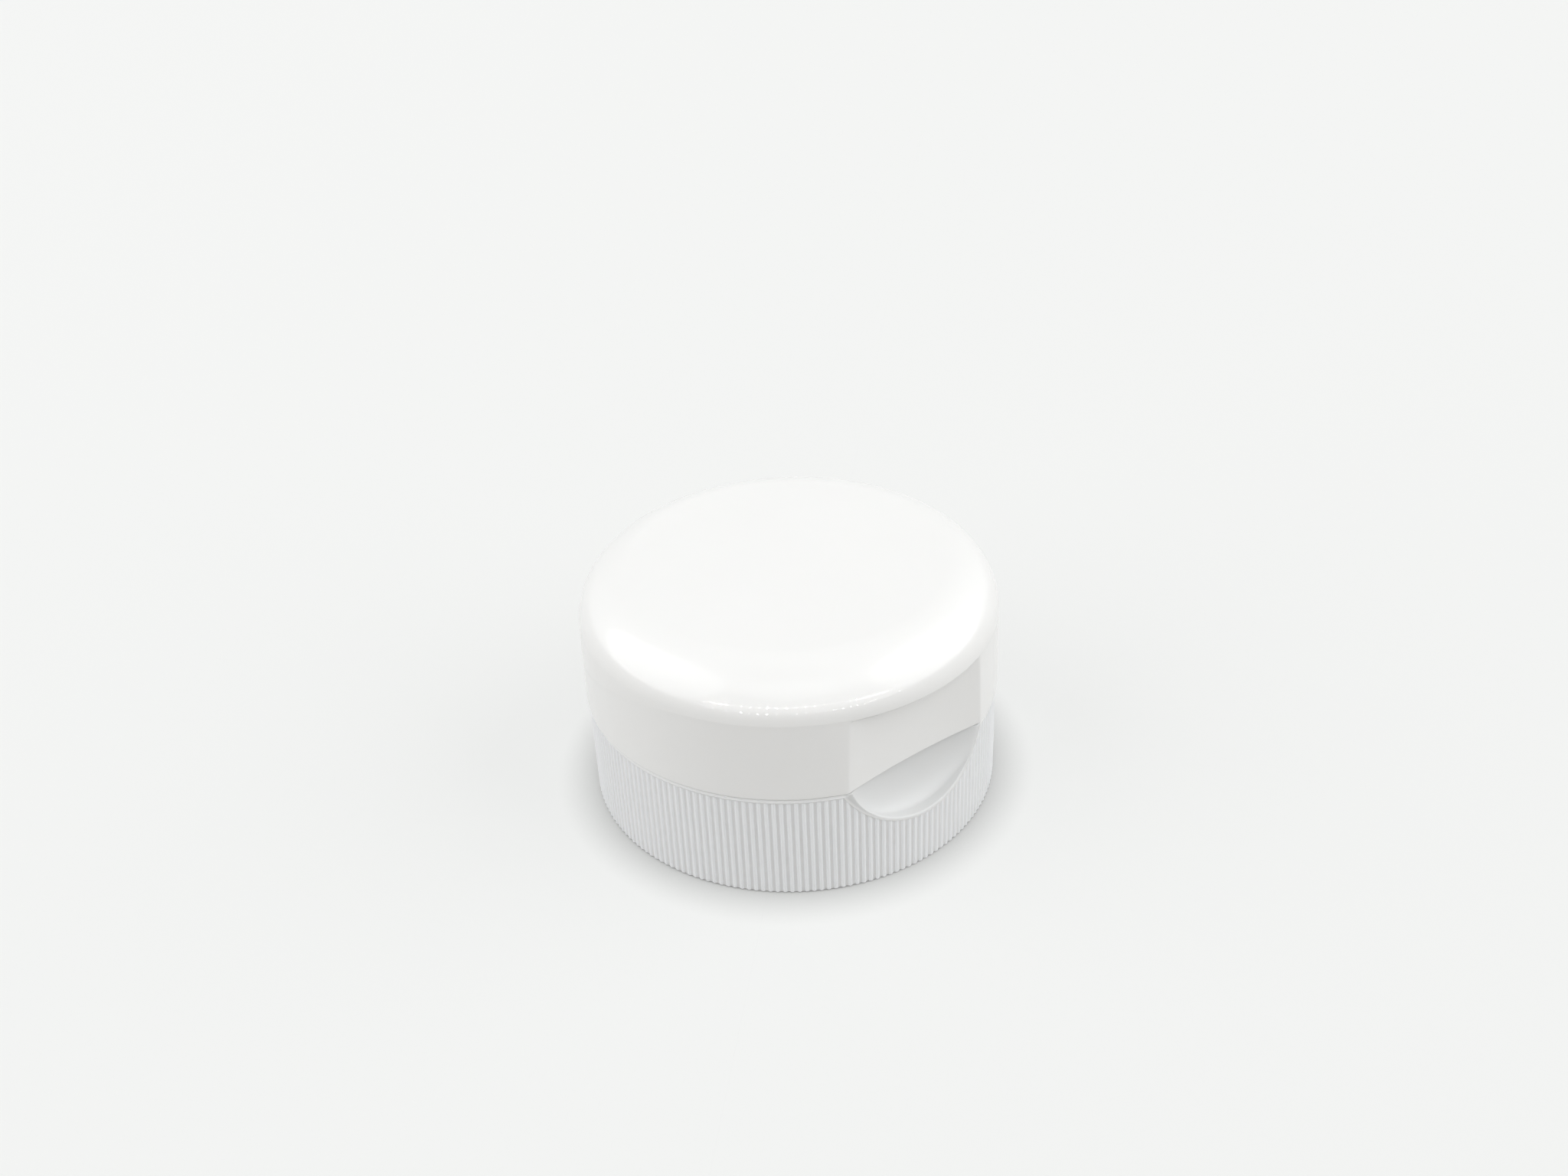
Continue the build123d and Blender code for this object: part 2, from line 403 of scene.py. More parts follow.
def buildLid():
    columns = columnAngles(
        (-180, -166.6, 0.6), (-166.6, -162.6, 0.2), (-162.6, -26, 1.3), (-26, -24.3, 0.4),
        (-24.3, -21.9, 0.08), (-21.9, 21.9, 0.6), (21.9, 24.3, 0.08), (24.3, 26, 0.4),
        (26, 162.6, 1.3), (162.6, 166.6, 0.2), (166.6, 180, 0.6))
    sizes = lidSizes
    back = smoothStep(np.abs(columns), 60, 140)
    ceiling = thumb["ceiling"] + (thumb["windowHigh"] - thumb["ceiling"]) * back

    def notchRadius(height):
        angle = leanWithRecess(columns, height)
        return np.minimum(thumbRadius(angle), windowRadius(angle))

    def outerRadius(height):
        return softMin(lidWallRadius(height), notchRadius(height), thumb["edgeRounding"])

    wallAtCeiling = lidWallRadius(ceiling)
    step = wallAtCeiling - outerRadius(ceiling)
    opened = smoothStep(step, 0.0, 0.2)
    spread = (1 - opened) * 0.25
    bottom = cap["lidBottom"]
    outerBottom = outerRadius(np.full(columns.shape, bottom))
    innerWall = lidWallRadius(np.array(bottom)) - sizes["wall"]
    innerTop = cap["height"] - sizes["wall"]
    ledgeZ = thumb["ceiling"] + sizes["thumbWall"]
    arcR, arcZ = cap["lidCornerRadius"] - sizes["rimRounding"], innerTop - sizes["innerRounding"]
    ledgeWall = arcR + math.sqrt(sizes["innerRounding"] ** 2 - (ledgeZ - arcZ) ** 2)
    backOfThumb = thumbRadius(columns, sizes["thumbWall"])
    blend = sizes["innerBlend"]
    innerFace = softMin(np.full(columns.shape, innerWall), backOfThumb, blend)
    innerLedge = softMin(np.full(columns.shape, ledgeWall), backOfThumb, blend)
    innerOpen = (1 - smoothStep(ledgeWall - innerLedge, 0.0, 0.3)) * 0.3
    beadZ, beadHalf = bottom + sizes["beadLift"], sizes["beadHalf"]
    bead = sizes["beadHeight"] * (1 - smoothStep(innerWall - innerFace, 0.0, 0.3))
    rim = sizes["rimRounding"]
    rimZ = cap["height"] - rim
    rimRadius = lidWallRadius(rimZ) - rim
    rimTurns = np.radians(np.linspace(90, 6, sizes["rimSteps"]))
    rows = [(0, cap["height"]), (rimRadius * 0.5, cap["height"]), (rimRadius - 0.1, cap["height"])]
    rows += [(rimRadius + rim * math.cos(t), rimZ + rim * math.sin(t)) for t in rimTurns]
    rows += roundedRows([
        (rows[-1][0], rows[-1][1], 0, 1),
        (wallAtCeiling, ceiling + spread, sizes["ceilingRounding"], 5),
        (outerRadius(ceiling), ceiling - spread, 0.3, 5),
        (outerBottom, bottom, sizes["bottomRounding"], 5),
        (innerFace, bottom, 0.2, 4),
        (innerFace, beadZ - beadHalf, 0.1, 2),
        (innerFace - bead, beadZ, 0.12, 3),
        (innerFace, beadZ + beadHalf, 0.1, 2),
        (innerLedge, ledgeZ - innerOpen, 0.3, 3),
        (ledgeWall, ledgeZ + innerOpen, 0.3, 3),
        (arcR + sizes["innerRounding"] * 0.93, ledgeZ + 0.75, 1.2, 3),
        (arcR + sizes["innerRounding"] * 0.55, innerTop, 1.6, 8),
        (sizes["plugRadius"], innerTop, 0.6, 5),
        (sizes["plugRadius"], sizes["plugTip"] + 1.3, 0.3, 2),
        (sizes["plugRadius"] - sizes["plugTaper"], sizes["plugTip"], 0.25, 4),
        (sizes["plugRadius"] - sizes["plugWall"], sizes["plugTip"], 0.2, 4),
        (sizes["plugRadius"] - sizes["plugWall"], innerTop, 0.5, 5),
        (0, innerTop, 0, 1),
    ])[1:]
    points, faces = skinRows(rows, columns, False, leanWithRecess)
    return makePiece("lidShell", points, faces, lidPlastic)


lidShell = buildLid()
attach(lidShell, "lid")
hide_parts("lid")
print("lid shell:", len(lidShell.data.polygons), "faces")


# the base in one skin: skirt, deck, spout, neck wall and sealing ring
baseSizes = {
    "skirtInner": 19.3,
    "grooveDepth": 0.12,
    "band": 0.4,
    "border": 0.4,
    "windowHalf": 5.75,
    "topRounding": 0.14,
    "scoopEdgeRounding": 0.2,
    "scoopWall": 1.1,
    "plateauRadius": 19.4,
    "plateauTop": 12.2,
    "plateauChamfer": 0.3,
    "fitGap": 1.45,
    "deckUnder": 10.7,
    "spoutFoot": 6.2,
    "spoutTip": 4.5,
    "spoutTop": 15.2,
    "spoutRounding": 0.5,
    "orifice": 3.2,
    "land": 1.6,
    "funnel": 5.0,
    "sealRadius": 10.85,
    "sealWall": 0.9,
    "sealLength": 2.3,
    "neckLand": 13.4,
    "neckLandTop": 8.2,
    "neckBore": 13.95,
    "neckOuter": 15.35,
    "neckLift": 0.8,
    "lip": 0.28,
    "topBand": 0.25,
    "faceBlend": 0.12,
    "wallBlend": 0.4,
    "faceSteps": 22,
}


def skirtRadius(height):
    share = height / cap["baseTop"]
    return cap["skirtBottomRadius"] + (cap["skirtTopRadius"] - cap["skirtBottomRadius"]) * share


def scoopLine(angle, grow):
    # height of the scoop's round outline, grown by a border, over the front of the skirt
    across = (cap["skirtTopRadius"] * np.sin(np.radians(angle))) ** 2
    inside = (thumb["scoopRadius"] + grow) ** 2 - across
    front = (np.abs(angle) < 45) & (inside > 0)
    return np.where(front, thumb["scoopZ"] - np.sqrt(np.maximum(inside, 0)), 99.0)


def buildBase():
    columns = columnAngles(
        (-180, -166.6, 0.6), (-166.6, -162.4, 0.2), (-162.4, -26.5, 1.3), (-26.5, -19, 0.2),
        (-19, 19, 0.4), (19, 26.5, 0.2), (26.5, 162.4, 1.3), (162.4, 166.6, 0.2), (166.6, 180, 0.6))
    sizes = baseSizes
    top = cap["baseTop"]
    lipLow, bandLow = top - sizes["lip"], top - sizes["topBand"]
    across = np.abs(cap["skirtTopRadius"] * np.sin(np.radians(columns)))
    atBack = (np.abs(columns) > 90) & (across < sizes["windowHalf"])
    faceLow = np.where(atBack, thumb["windowLow"], np.minimum(scoopLine(columns, 0.0), lipLow))
    grooveTop = np.minimum(scoopLine(columns, sizes["border"]), top - sizes["band"])
    grooveTop = np.where(atBack, thumb["windowLow"] - sizes["border"], grooveTop)

    def faceRadius(height):
        cut = np.minimum(scoopRadiusAt(columns, height), windowRadius(columns))
        return softMin(skirtRadius(height), cut, sizes["faceBlend"])

    faceFoot = faceRadius(faceLow + 0.002)
    step = skirtRadius(faceLow) - faceFoot
    spread = (1 - smoothStep(step, 0.0, 0.15)) * 0.03
    plateau = softMin(
        np.full(columns.shape, sizes["plateauRadius"]), thumbRadius(columns, sizes["fitGap"]), 0.3)
    plateauIn = plateau - sizes["plateauChamfer"]
    outer = roundedRows([
        (sizes["orifice"] + 0.2, sizes["spoutTop"], 0, 1),
        (sizes["spoutTip"], sizes["spoutTop"], sizes["spoutRounding"], 7),
        (sizes["spoutFoot"], sizes["plateauTop"], 0.45, 6),
        (plateauIn * 0.6, sizes["plateauTop"], 0.0, 1),
        (plateauIn, sizes["plateauTop"], 0.12, 3),
        (plateau, sizes["plateauTop"] - sizes["plateauChamfer"], 0.12, 3),
        (plateau, top, 0.15, 3),
        (faceRadius(np.full(columns.shape, top)), top, sizes["topRounding"], 5),
        (faceRadius(np.full(columns.shape, bandLow)), bandLow, 0, 1),
    ])[:-1]
    # the face below the top edge: plain band, scoop or hinge window, denser towards its foot
    for s in np.linspace(0.94, 0.0, sizes["faceSteps"]):
        height = faceLow + spread + (bandLow - faceLow - spread) * s ** 2
        outer.append(np.stack([faceRadius(height + 0.002), height]))
    footRadius = skirtRadius(grooveTop) - sizes["grooveDepth"]
    floorRadius = cap["skirtBottomRadius"] - sizes["grooveDepth"]
    lower = roundedRows([
        (outer[-1][0], outer[-1][1], 0, 1),
        (skirtRadius(faceLow), faceLow - spread, sizes["scoopEdgeRounding"], 5),
        (skirtRadius(grooveTop), grooveTop, 0.08, 3),
        (footRadius, grooveTop - 0.05, 0.05, 2),
        (floorRadius, 0, 0.22, 4),
        (sizes["skirtInner"], 0, 0.2, 3),
        (sizes["skirtInner"], 0.8, 0, 1),
    ])
    rows = outer + lower[1:]
    for height in np.linspace(1.4, sizes["deckUnder"] - 0.3, 13):
        level = np.full(columns.shape, height)
        back = scoopRadiusAt(columns, level, sizes["scoopWall"])
        wall = np.full(columns.shape, sizes["skirtInner"])
        rows.append(np.stack([softMin(wall, back, sizes["wallBlend"]), level]))
    under = sizes["deckUnder"]
    sealIn, sealEnd = sizes["sealRadius"] - sizes["sealWall"], under - sizes["sealLength"]
    rows += roundedRows([
        (rows[-1][0], rows[-1][1], 0, 1),
        (rows[-1][0] - 0.02, under, 0.3, 3),
        (sizes["neckOuter"], under, 0.5, 4),
        (sizes["neckOuter"], sizes["neckLift"], 0.15, 3),
        (sizes["neckBore"], sizes["neckLift"], 0.3, 4),
        (sizes["neckBore"], sizes["neckLandTop"], 0.1, 3),
        (sizes["neckLand"], sizes["neckLandTop"], 0.1, 3),
        (sizes["neckLand"], under, 0.2, 3),
        (sizes["sealRadius"], under, 0.3, 3),
        (sizes["sealRadius"] + 0.12, under - 1.0, 0.4, 3),
        (sizes["sealRadius"] - 0.25, sealEnd, 0.2, 4),
        (sealIn, sealEnd, 0.2, 4),
        (sealIn, under, 0.3, 3),
        (sizes["funnel"], under, 0.3, 3),
        (sizes["orifice"], sizes["spoutTop"] - sizes["land"], 0.4, 4),
        (sizes["orifice"], sizes["spoutTop"], 0.22, 4),
        (sizes["orifice"] + 0.5, sizes["spoutTop"], 0, 1),
    ])[1:-1]
    points, faces = skinRows(rows, columns, True)
    return makePiece("baseShell", points, faces, basePlastic)


baseShell = buildBase()
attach(baseShell, "base")
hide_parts("base")
print("base shell:", len(baseShell.data.polygons), "faces")


# grip ribs, stiffeners and neck thread, grown with Geometry Nodes
def polarTree(name, values, ruled):
    # copies of the seed mesh on a circle, each turned outwards. With ruled on, each copy is as
    # long as the room it has: to the plain band, the scoop's border or the hinge window
    tree, given, idents = freshTree(name, values)
    socket = given.outputs
    circle = addNode(tree, "GeometryNodeMeshCircle", {
        "Vertices": socket["count"], "Radius": socket["radius"]})
    start = addNode(tree, "ShaderNodeCombineXYZ", {"Z": socket["start"]}).outputs[0]
    ring = addNode(tree, "GeometryNodeTransform", {
        "Geometry": circle.outputs["Mesh"], "Rotation": start})
    place = addNode(tree, "GeometryNodeInputPosition").outputs[0]
    spot = addNode(tree, "ShaderNodeSeparateXYZ", {0: place}).outputs
    turn = calc(tree, "ARCTAN2", spot["Y"], spot["X"])
    rotation = addNode(tree, "ShaderNodeCombineXYZ", {"Y": socket["lean"], "Z": turn}).outputs[0]
    length = socket["length"]
    if ruled:
        wide = calc(tree, "POWER", spot["X"], 2.0)
        reach = calc(tree, "POWER", socket["scoopRadius"], 2.0)
        left = calc(tree, "MAXIMUM", calc(tree, "SUBTRACT", reach, wide), 0.0)
        line = calc(tree, "SUBTRACT", socket["scoopZ"], calc(tree, "SQRT", left))
        short = calc(tree, "MINIMUM", line, length)
        front = calc(tree, "LESS_THAN", spot["Y"], 0.0)
        length = addNode(tree, "GeometryNodeSwitch", {
            "Switch": front, "False": length, "True": short}, input_type="FLOAT").outputs[0]
        near = calc(tree, "LESS_THAN", calc(tree, "ABSOLUTE", spot["X"]), socket["windowHalf"])
        both = calc(tree, "MULTIPLY", near, calc(tree, "SUBTRACT", 1.0, front))
        length = addNode(tree, "GeometryNodeSwitch", {
            "Switch": both, "False": length, "True": socket["windowLow"]},
            input_type="FLOAT").outputs[0]
    scale = addNode(tree, "ShaderNodeCombineXYZ", {"X": 1.0, "Y": 1.0, "Z": length}).outputs[0]
    copies = addNode(tree, "GeometryNodeInstanceOnPoints", {
        "Points": ring.outputs["Geometry"], "Instance": socket["geometry"],
        "Rotation": rotation, "Scale": scale})
    solid = addNode(tree, "GeometryNodeRealizeInstances", {"Geometry": copies.outputs["Instances"]})
    dressed = addNode(tree, "GeometryNodeSetMaterial", {
        "Geometry": solid.outputs["Geometry"], "Material": paintedLightRibPlastic})
    addNode(tree, "NodeGroupOutput", {"geometry": dressed.outputs["Geometry"]})
    return tree, idents


def barMesh(name, section, low, high):
    # an upright bar of the given section between two heights, with its ends closed
    count = len(section)
    points = [(x, y, z) for z in (low, high) for x, y in section]
    faces = [(i, (i + 1) % count, count + (i + 1) % count, count + i) for i in range(count)]
    faces += [tuple(reversed(range(count))), tuple(range(count, 2 * count))]
    mesh = bpy.data.meshes.new(name)
    mesh.from_pydata(points, [], faces)
    return mesh


ribSizes = {
    "count": 188, "crest": 0.24, "foot": 0.42, "rounding": 0.07, "sunk": 0.04, "bury": 0.12,
    "start": 0.012, "overlap": 0.06,
}


def buildRibs():
    sizes = ribSizes
    out = -sizes["sunk"]
    deep = -(baseSizes["grooveDepth"] + sizes["bury"])
    floor = -baseSizes["grooveDepth"]
    half, foot, r = sizes["crest"] / 2, sizes["foot"] / 2, sizes["rounding"]
    section = [
        (deep, -foot - 0.03), (floor + 0.02, -foot), (out - r, -half - 0.45 * r),
        (out - 0.3 * r, -half + 0.25 * r), (out, -half + r), (out, half - r),
        (out - 0.3 * r, half - 0.25 * r), (out - r, half + 0.45 * r),
        (floor + 0.02, foot), (deep, foot + 0.03)]
    seed = barMesh("ribSeed", [(x * mm, y * mm) for x, y in section], sizes["start"], 1.0)
    lean = -math.atan((cap["skirtBottomRadius"] - cap["skirtTopRadius"]) / cap["baseTop"])
    over = sizes["overlap"]
    values = {
        "count": sizes["count"], "radius": cap["skirtBottomRadius"] * mm,
        "lean": lean, "start": 0.0,
        "length": (cap["baseTop"] - baseSizes["band"] + over) * mm,
        "scoopRadius": (thumb["scoopRadius"] + baseSizes["border"] - over) * mm,
        "scoopZ": thumb["scoopZ"] * mm, "windowHalf": baseSizes["windowHalf"] * mm,
        "windowLow": (thumb["windowLow"] - baseSizes["border"] + over) * mm}
    tree, idents = polarTree("gripRibTree", values, True)
    return growPiece("gripRibs", seed, tree, idents, values)


gussetSizes = {"count": 8, "thickness": 0.9, "low": 3.0, "draft": 0.08, "bury": 0.15}


def buildGussets():
    sizes = gussetSizes
    near, far = baseSizes["neckOuter"] - sizes["bury"], baseSizes["skirtInner"] + sizes["bury"]
    high, low = baseSizes["deckUnder"] + sizes["bury"], sizes["low"]
    outline = [(near, low + 0.9), (near + 1.1, low + 0.35), (far - 0.4, low), (far, low),
               (far, high), (near, high)]
    points, count = [], len(outline)
    for side in (-1, 1):
        for r, z in outline:
            half = sizes["thickness"] / 2 - sizes["draft"] * (high - z) / (high - low)
            points.append((r * mm, side * half * mm, z * mm))
    faces = [(i, count + i, count + (i + 1) % count, (i + 1) % count) for i in range(count)]
    faces += [tuple(range(count)), tuple(reversed(range(count, 2 * count)))]
    seed = bpy.data.meshes.new("gussetSeed")
    seed.from_pydata(points, [], faces)
    values = {"count": sizes["count"], "radius": 1e-6, "lean": 0.0, "length": 1.0,
              "start": math.pi / sizes["count"]}
    tree, idents = polarTree("gussetTree", values, False)
    return growPiece("deckGussets", seed, tree, idents, values)


threadSizes = {
    "pitch": 4.23, "turns": 1.45, "low": 2.1, "depth": 0.95, "foot": 2.1, "crest": 0.75,
}


def buildThread():
    # the bottle's thread runs between the turns of this rounded ridge, which rises to the right
    sizes = threadSizes
    values = {
        "turns": sizes["turns"], "radius": (baseSizes["neckBore"] + 0.1) * mm,
        "rise": sizes["turns"] * sizes["pitch"] * mm, "low": sizes["low"] * mm}
    tree, given, idents = freshTree("neckThreadTree", values)
    socket = given.outputs
    path = addNode(tree, "GeometryNodeCurveSpiral", {
        "Resolution": 72, "Rotations": socket["turns"], "Start Radius": socket["radius"],
        "End Radius": socket["radius"], "Height": socket["rise"], "Reverse": False})
    shift = addNode(tree, "ShaderNodeCombineXYZ", {"Z": socket["low"]}).outputs[0]
    lifted = addNode(tree, "GeometryNodeSetPosition", {
        "Geometry": path.outputs["Curve"], "Offset": shift})
    upright = addNode(tree, "GeometryNodeSetCurveNormal", {
        "Curve": lifted.outputs["Geometry"]}, mode="Z_UP")
    along = addNode(tree, "GeometryNodeSplineParameter").outputs["Factor"]
    closer = calc(tree, "MINIMUM", along, calc(tree, "SUBTRACT", 1.0, along))
    taper = addNode(tree, "ShaderNodeMapRange", {
        "Value": closer, "From Min": 0.0, "From Max": 0.09, "To Min": 0.12, "To Max": 1.0},
        interpolation_type="SMOOTHSTEP").outputs["Result"]
    sized = addNode(tree, "GeometryNodeSetCurveRadius", {
        "Curve": upright.outputs["Curve"], "Radius": taper})
    outline = addNode(tree, "GeometryNodeMeshToCurve", {"Mesh": socket["geometry"]})
    ridge = addNode(tree, "GeometryNodeCurveToMesh", {
        "Curve": sized.outputs["Curve"], "Profile Curve": outline.outputs["Curve"],
        "Fill Caps": True})
    if "Scale" in ridge.inputs:
        tree.links.new(taper, ridge.inputs["Scale"])
    solid = addNode(tree, "GeometryNodeRealizeInstances", {"Geometry": ridge.outputs["Mesh"]})
    dressed = addNode(tree, "GeometryNodeSetMaterial", {
        "Geometry": solid.outputs["Geometry"], "Material": paintedLightRibPlastic})
    addNode(tree, "NodeGroupOutput", {"geometry": dressed.outputs["Geometry"]})
    foot, crest, depth = sizes["foot"] / 2, sizes["crest"] / 2, sizes["depth"] + 0.1
    section = [(-foot, -0.1), (-foot, 0.08), (-crest - 0.15, depth - 0.18), (-crest, depth),
               (crest, depth), (crest + 0.15, depth - 0.18), (foot, 0.08), (foot, -0.1)]
    seed = bpy.data.meshes.new("threadSeed")
    count = len(section)
    edges = [(i, (i + 1) % count) for i in range(count)]
    seed.from_pydata([(y * mm, x * mm, 0) for x, y in section], edges, [])
    return growPiece("neckThread", seed, tree, idents, values)


for maker in (buildRibs, buildGussets, buildThread):
    piece = maker()
    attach(piece, "base")
    low = [min(v.co[i] for v in piece.data.vertices) / mm for i in range(3)]
    high = [max(v.co[i] for v in piece.data.vertices) / mm for i in range(3)]
    print(piece.name, len(piece.data.polygons), "faces", [round(v, 2) for v in low + high])


hingeSizes = {
    "filmX": 3.1, "filmWidth": 2.4, "filmIn": 20.28, "filmThickness": 0.35, "filmHeight": 1.2,
    "strapWidth": 2.2, "strapThickness": 0.45, "strapHeight": 4.6, "land": 0.9, "bury": 0.4,
    "filmWaist": 0.07, "strapWaist": 0.08, "landRounding": 0.12,
}


def stripRows(x, rows, rounding=0.09):
    # an upright strip with rounded long edges, from rows of (height, inner y, outer y, half width)
    points, faces = [], []
    for z, a, b, half in rows:
        r = min(rounding, (b - a) * 0.45)
        corners = [
            (-half, a + r), (-half + 0.3 * r, a + 0.3 * r), (-half + r, a), (half - r, a),
            (half - 0.3 * r, a + 0.3 * r), (half, a + r), (half, b - r),
            (half - 0.3 * r, b - 0.3 * r), (half - r, b), (-half + r, b),
            (-half + 0.3 * r, b - 0.3 * r), (-half, b - r)]
        points += [((x + u) * mm, v * mm, z * mm) for u, v in corners]
    count, last = 12, (len(rows) - 1) * 12
    for row in range(len(rows) - 1):
        for i in range(count):
            k = (i + 1) % count
            here, above = row * count, (row + 1) * count
            faces.append((here + i, here + k, above + k, above + i))
    faces += [tuple(reversed(range(count))), tuple(range(last, last + count))]
    return points, faces


def thinnedRows(low, high, inner, outer, half, waist, steps):
    # evenly thick at the ends and thinnest in the middle, where the plastic folds
    shares = [i / steps for i in range(steps + 1)]
    thin = [waist * math.sin(math.pi * s) ** 2 for s in shares]
    return [(low + (high - low) * s, inner + t, outer - t, half) for s, t in zip(shares, thin)]


def landRows(end, way, length, buried, outer, half):
    # full height beside the film, then a ramp down into the window's face and a little wider
    rows = []
    for s in (0.0, 0.12, 0.3, 0.42, 0.5, 0.58, 0.66, 0.74, 0.82, 0.9, 1.0):
        fall = float(smoothStep(s, 0.36, 1.0))
        out = outer - (outer - thumb["windowY"] + 0.04) * fall
        rows.append((end + way * length * s, buried, out, half + 0.12 * fall))
    return rows if way > 0 else rows[::-1]


def joined(strips):
    points, faces = [], []
    for morePoints, moreFaces in strips:
        faces += [tuple(len(points) + v for v in face) for face in moreFaces]
        points += morePoints
    return points, faces


def buildHinge():
    h, z = hingeSizes, cap["hingeZ"]
    filmLow, filmHigh = z - h["filmHeight"] / 2, z + h["filmHeight"] / 2
    strapLow, strapHigh = z - h["strapHeight"] / 2, z + h["strapHeight"] / 2
    filmOut, strapOut = h["filmIn"] + h["filmThickness"], h["filmIn"] + h["strapThickness"]
    films = makePiece("hingeFilms", *joined([
        stripRows(x, thinnedRows(
            filmLow, filmHigh, h["filmIn"], filmOut, h["filmWidth"] / 2, h["filmWaist"], 14))
        for x in (-h["filmX"], h["filmX"])]), hingePlastic)
    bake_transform(films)
    strap = makePiece("hingeStrap", *stripRows(0, thinnedRows(
        strapLow, strapHigh, h["filmIn"], strapOut, h["strapWidth"] / 2, h["strapWaist"], 28)),
        hingePlastic)
    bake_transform(strap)
    for piece in (films, strap):
        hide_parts("snap_hinge")
    buried = thumb["windowY"] - h["bury"]
    for name, body, way, filmEnd, strapEnd, plastic, slot in (
            ("baseLands", "base", -1, filmLow, strapLow, basePlastic, "base_plastic"),
            ("lidLands", "lid", 1, filmHigh, strapHigh, lidPlastic, "lid_plastic")):
        strips = []
        for x, width, end, out in ((-h["filmX"], h["filmWidth"], filmEnd, filmOut),
                                   (h["filmX"], h["filmWidth"], filmEnd, filmOut),
                                   (0, h["strapWidth"], strapEnd, strapOut)):
            rows = landRows(end, way, h["land"], buried, out, width / 2)
            strips.append(stripRows(x, rows, h["landRounding"]))
        lands = makePiece(name, *joined(strips), plastic)
        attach(lands, body)


buildHinge()
print("hinge ready")


floorLook = {
    "pale": "#F0F1F0", "bounce": "#9F9E9B", "lift": 0.62, "level": 1.04, "contact": 4.5,
    "size": 4.0, "drop": 0.02,
}


def seenRays(tree):
    # 1 for rays that show the background: from the camera, or by way of gloss or glass
    path = addNode(tree, "ShaderNodeLightPath").outputs
    gloss = calc(tree, "MAXIMUM", path["Is Glossy Ray"], path["Is Transmission Ray"])
    return calc(tree, "MAXIMUM", path["Is Camera Ray"], gloss)


def paintFloor():
    # matt white paper. To camera and gloss it looks paler than the light that it throws back, a
    # fit to the photo, and the lift fades in the last millimetres before the part
    look = floorLook
    material, tree = blankMaterial("mattPaper")
    seen = seenRays(tree)
    pale = hexColour(look["pale"])
    tint = mixColour(tree, seen, hexColour(look["bounce"]), pale)
    paper = addNode(tree, "ShaderNodeBsdfDiffuse", {"Color": tint, "Roughness": 0.6}).outputs[0]
    # painted contact shadow: ambient occlusion darkens the glow in the last millimetres before the
    # part
    near = addNode(tree, "ShaderNodeAmbientOcclusion", {
        "Distance": look["contact"] * mm}, samples=8)
    level = calc(tree, "MULTIPLY", near.outputs["AO"], look["level"])
    glow = addNode(tree, "ShaderNodeEmission", {"Color": pale, "Strength": level}).outputs[0]
    share = calc(tree, "MULTIPLY", seen, look["lift"])
    both = addNode(tree, "ShaderNodeMixShader", {0: share, 1: paper, 2: glow}).outputs[0]
    addNode(tree, "ShaderNodeOutputMaterial", {"Surface": both})
    size, drop = look["size"], -look["drop"] * mm
    corners = [(-size, -size, drop), (size, -size, drop), (size, size, drop), (-size, size, drop)]
    floor = makePiece("paperFloor", corners, [(0, 1, 2, 3)], material, smooth=False)


view = {
    "azimuth": -36.0, "elevation": 38.703, "distance": 156.207, "focal": 1900.0,
    "yaw": -0.144, "pitch": 6.527, "roll": 2.593, "imageWidth": 2048.0, "sensor": 36.0,
    "near": 0.005, "far": 20.0,
}
# azimuths are counted from the camera
lamps = {
    "frontSky": {"azimuth": 0.0, "elevation": 45.0, "strength": 0.20, "angle": 40.0},
    "rightSky": {"azimuth": 85.0, "elevation": 26.0, "strength": 1.32, "angle": 70.0},
    "leftSky": {"azimuth": -80.0, "elevation": 28.0, "strength": 1.05, "angle": 70.0},
}
roomLook = {"light": "#FFFFFE", "ambient": 0.63, "background": "#F2F4F3", "level": 1.0}


def lightRoom():
    world = bpy.data.worlds.new("softRoom")
    world.use_nodes = True
    tree = world.node_tree
    tree.nodes.clear()
    seen = seenRays(tree)
    light = addNode(tree, "ShaderNodeBackground", {
        "Color": hexColour(roomLook["light"]), "Strength": roomLook["ambient"]}).outputs[0]
    pale = addNode(tree, "ShaderNodeBackground", {
        "Color": hexColour(roomLook["background"]), "Strength": roomLook["level"]}).outputs[0]
    both = addNode(tree, "ShaderNodeMixShader", {0: seen, 1: light, 2: pale}).outputs[0]
    addNode(tree, "ShaderNodeOutputWorld", {"Surface": both})
    bpy.context.scene.world = world
    for name, look in lamps.items():
        lamp = bpy.data.lights.new(name, "SUN")
        lamp.energy = look["strength"]
        lamp.angle = math.radians(look["angle"])
        holder = bpy.data.objects.new(name, lamp)
        turn = math.radians(view["azimuth"] + look["azimuth"])
        holder.rotation_euler = Euler((math.radians(90 - look["elevation"]), 0, turn))
        bpy.context.scene.collection.objects.link(holder)


panelLook = {
    "radius": 0.45, "low": -4.0, "full": 6.0, "dim": 38.0, "high": 84.0, "side": 80.0,
    "back": 162.0, "strength": 1.1, "colour": "#FDFEFF", "columns": 109, "rows": 67,
}


def hideFromAllButGloss(piece):
    piece.visible_camera = False
    piece.visible_diffuse = False
    piece.visible_shadow = False


